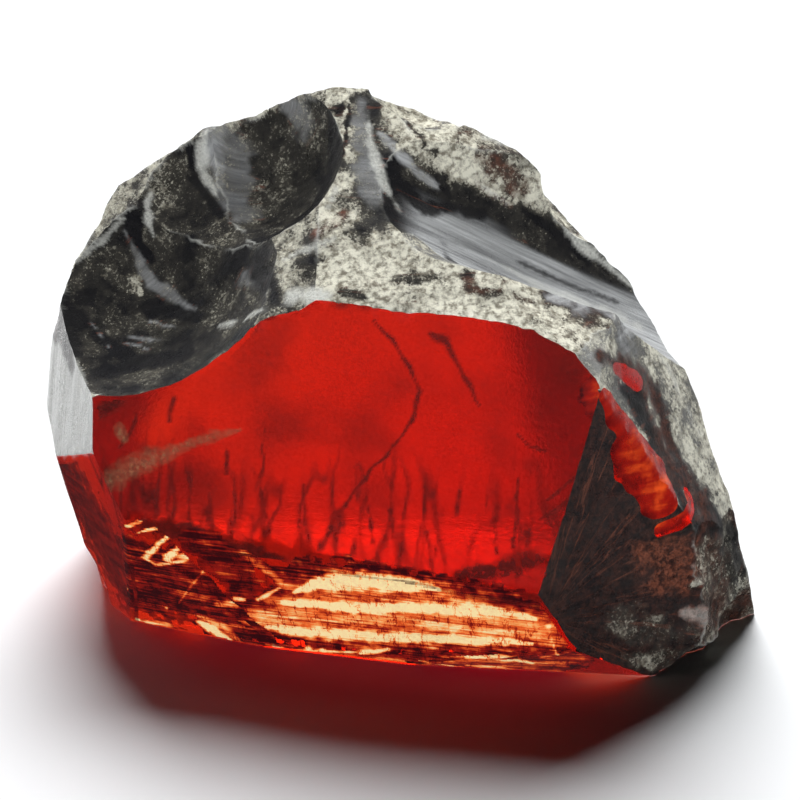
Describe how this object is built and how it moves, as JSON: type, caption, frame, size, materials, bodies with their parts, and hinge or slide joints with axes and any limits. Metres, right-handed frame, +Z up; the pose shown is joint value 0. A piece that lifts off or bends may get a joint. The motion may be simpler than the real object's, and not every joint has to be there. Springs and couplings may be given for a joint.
{
  "type": "garnet crystal",
  "caption": "Broken lump of clear deep-red garnet rough with a flat see-through fracture window, hollow conchoidal scars and a dusty matt crust, resting on a flat fracture.",
  "frame": {"origin": "middle of the stone's outline box on the surface that it rests on", "axes": "+Z up, +X along the stone's longest side to the right, -Y out of the clear window at the front"},
  "size_m": [0.0298, 0.0214, 0.0216],
  "materials": {
    "garnet": "polished"
  },
  "bodies": {
    "root": {"garnet_crystal": "garnet"}
  },
  "joints": []
}
